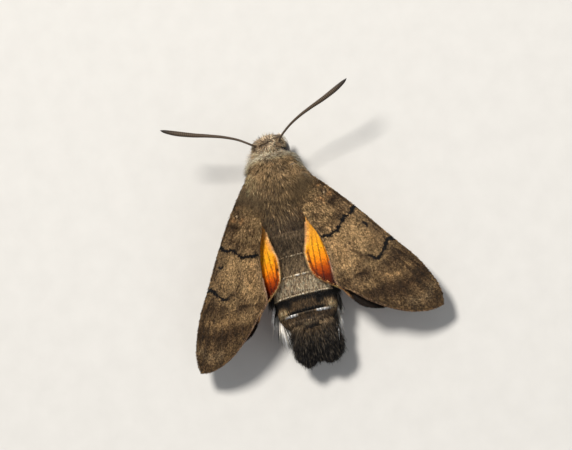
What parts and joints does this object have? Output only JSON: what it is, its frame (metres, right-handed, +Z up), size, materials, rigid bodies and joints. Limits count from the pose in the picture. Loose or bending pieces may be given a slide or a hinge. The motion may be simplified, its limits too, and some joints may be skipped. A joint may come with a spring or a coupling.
{
  "type": "hummingbird hawk moth figure",
  "caption": "Still figure of a hummingbird hawk moth standing with its wings swept back over a stout furry body, with clubbed feelers and a scaly tail fan.",
  "frame": {"origin": "on the floor, under the middle of the whole moth's bounding box", "axes": "+X to the moth's right, +Y towards its head, +Z up; it stands on the soles of its six feet at z = 0"},
  "size_m": [0.0306, 0.0308, 0.0105],
  "materials": {
    "coat_olive": "hair scales, matt",
    "coat_abdomen": "hair scales, matt",
    "tail_scales": "long hair scales, slight sheen",
    "forewing_scales": "fine flat scales, matt",
    "hindwing_scales": "fine flat scales, matt",
    "horny_brown": "satin",
    "leg_scales": "flat scales, matt",
    "eye_surface": "glossy, finely faceted"
  },
  "bodies": {
    "root": {"thorax": "coat_olive", "head": "coat_olive", "abdomen": "coat_abdomen", "tail_fan": "tail_scales", "proboscis": "horny_brown", "eye_left": "eye_surface", "forewing_left": "forewing_scales", "hindwing_left": "hindwing_scales", "antenna_left": "horny_brown", "palp_left": "coat_olive", "leg_front_left": "leg_scales", "leg_middle_left": "leg_scales", "leg_hind_left": "leg_scales", "eye_right": "eye_surface", "forewing_right": "forewing_scales", "hindwing_right": "hindwing_scales", "antenna_right": "horny_brown", "palp_right": "coat_olive", "leg_front_right": "leg_scales", "leg_middle_right": "leg_scales", "leg_hind_right": "leg_scales"}
  },
  "joints": []
}
